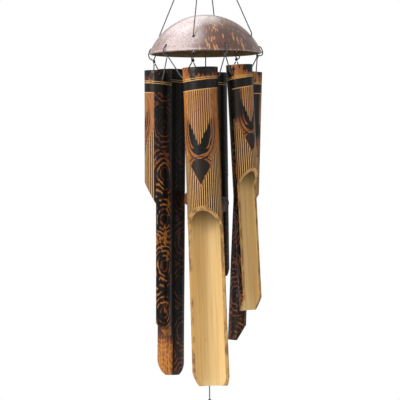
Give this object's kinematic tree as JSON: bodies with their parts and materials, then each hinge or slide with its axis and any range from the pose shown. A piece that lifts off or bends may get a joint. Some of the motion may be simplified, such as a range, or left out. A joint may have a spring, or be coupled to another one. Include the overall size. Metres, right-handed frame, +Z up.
{
  "type": "wind chime",
  "caption": "Hanging wind chime: a coconut shell canopy with long scooped bamboo tubes on cords round a disc striker, and a wind catcher below.",
  "frame": {"origin": "centre of the hang ring that goes on a hook", "axes": "+Z up, -Y is the front, +X to the right seen from the front"},
  "size_m": [0.1241, 0.1299, 0.565],
  "materials": {
    "ring_steel": "bright drawn steel wire",
    "nylon_cord": "dark grey twisted nylon cord",
    "lacquered_coconut": "coconut shell, glossy red-brown lacquer outside, plain inside",
    "clapper_coconut": "turned dark wood, sanded, oiled",
    "catcher_bamboo": "split bamboo, burnt and carved, varnished",
    "carved_bamboo_front": "bamboo, burnt, carved and varnished",
    "carved_bamboo_right_front": "bamboo, burnt, carved and varnished",
    "carved_bamboo_right_back": "bamboo, burnt, carved and varnished",
    "carved_bamboo_back": "bamboo, burnt, carved and varnished",
    "carved_bamboo_left_back": "bamboo, burnt, carved and varnished",
    "carved_bamboo_left_front": "bamboo, burnt, carved and varnished"
  },
  "bodies": {
    "ring": {"hang_ring": "ring_steel"},
    "canopy": {"top_knot": "nylon_cord", "coconut_shell": "lacquered_coconut", "suspension_cord_side": "nylon_cord", "suspension_cord_front": "nylon_cord", "crossing_knot": "nylon_cord", "rim_ties": "nylon_cord"},
    "front_tube": {"tube_front": "carved_bamboo_front", "cord_front": "nylon_cord"},
    "right_front_tube": {"tube_right_front": "carved_bamboo_right_front", "cord_right_front": "nylon_cord"},
    "right_back_tube": {"tube_right_back": "carved_bamboo_right_back", "cord_right_back": "nylon_cord"},
    "back_tube": {"tube_back": "carved_bamboo_back", "cord_back": "nylon_cord"},
    "left_back_tube": {"tube_left_back": "carved_bamboo_left_back", "cord_left_back": "nylon_cord"},
    "left_front_tube": {"tube_left_front": "carved_bamboo_left_front", "cord_left_front": "nylon_cord"},
    "striker_pivot": {"striker_knot": "nylon_cord"},
    "striker": {"striker_cord": "nylon_cord", "clapper": "clapper_coconut"},
    "catcher_pivot": {"clapper_knot": "nylon_cord"},
    "catcher_line": {"lower_cord": "nylon_cord", "catcher_knot": "nylon_cord"},
    "catcher": {"catcher_loop": "nylon_cord", "wind_catcher": "catcher_bamboo"}
  },
  "joints": [
    {"name": "head_swing", "type": "hinge", "parent": "ring", "child": "canopy", "pos_m": [0, 0, -0.007], "axis": [1, 0, 0], "range_deg": [-25, 25]},
    {"name": "front_tube_swing", "type": "hinge", "parent": "canopy", "child": "front_tube", "pos_m": [-0.00963, -0.04327, -0.1474], "axis": [-0.9761, 0.2173, 0], "range_deg": [-0.8, 30]},
    {"name": "right_front_tube_swing", "type": "hinge", "parent": "canopy", "child": "right_front_tube", "pos_m": [0.03641, -0.02768, -0.1474], "axis": [-0.6053, -0.796, 0], "range_deg": [-0.8, 30]},
    {"name": "right_back_tube_swing", "type": "hinge", "parent": "canopy", "child": "right_back_tube", "pos_m": [0.04281, 0.01848, -0.1474], "axis": [0.3963, -0.9181, 0], "range_deg": [-0.8, 30]},
    {"name": "back_tube_swing", "type": "hinge", "parent": "canopy", "child": "back_tube", "pos_m": [0.0096, 0.0472, -0.1474], "axis": [0.9799, -0.1994, 0], "range_deg": [-0.8, 30]},
    {"name": "left_back_tube_swing", "type": "hinge", "parent": "canopy", "child": "left_back_tube", "pos_m": [-0.03321, 0.02872, -0.1492], "axis": [0.653, 0.7551, 0.0588], "range_deg": [-0.8, 30]},
    {"name": "left_front_tube_swing", "type": "hinge", "parent": "canopy", "child": "left_front_tube", "pos_m": [-0.04604, -0.01558, -0.1492], "axis": [-0.3196, 0.9442, -0.0803], "range_deg": [-0.8, 30]},
    {"name": "striker_front_back", "type": "hinge", "parent": "canopy", "child": "striker_pivot", "pos_m": [0, 0, -0.13468], "axis": [1, 0, 0], "range_deg": [-1.3, 1.3]},
    {"name": "striker_side", "type": "hinge", "parent": "striker_pivot", "child": "striker", "pos_m": [0, 0, -0.13468], "axis": [0, 1, 0], "range_deg": [-1.3, 1.3]},
    {"name": "catcher_front_back", "type": "hinge", "parent": "striker", "child": "catcher_pivot", "pos_m": [0, 0, -0.30736], "axis": [1, 0, 0], "range_deg": [-4, 4]},
    {"name": "catcher_side", "type": "hinge", "parent": "catcher_pivot", "child": "catcher_line", "pos_m": [0, 0, -0.30736], "axis": [0, 1, 0], "range_deg": [-4, 4]},
    {"name": "catcher_spin", "type": "hinge", "parent": "catcher_line", "child": "catcher", "pos_m": [0, 0, -0.5005], "axis": [0, 0, 1], "continuous": true}
  ]
}
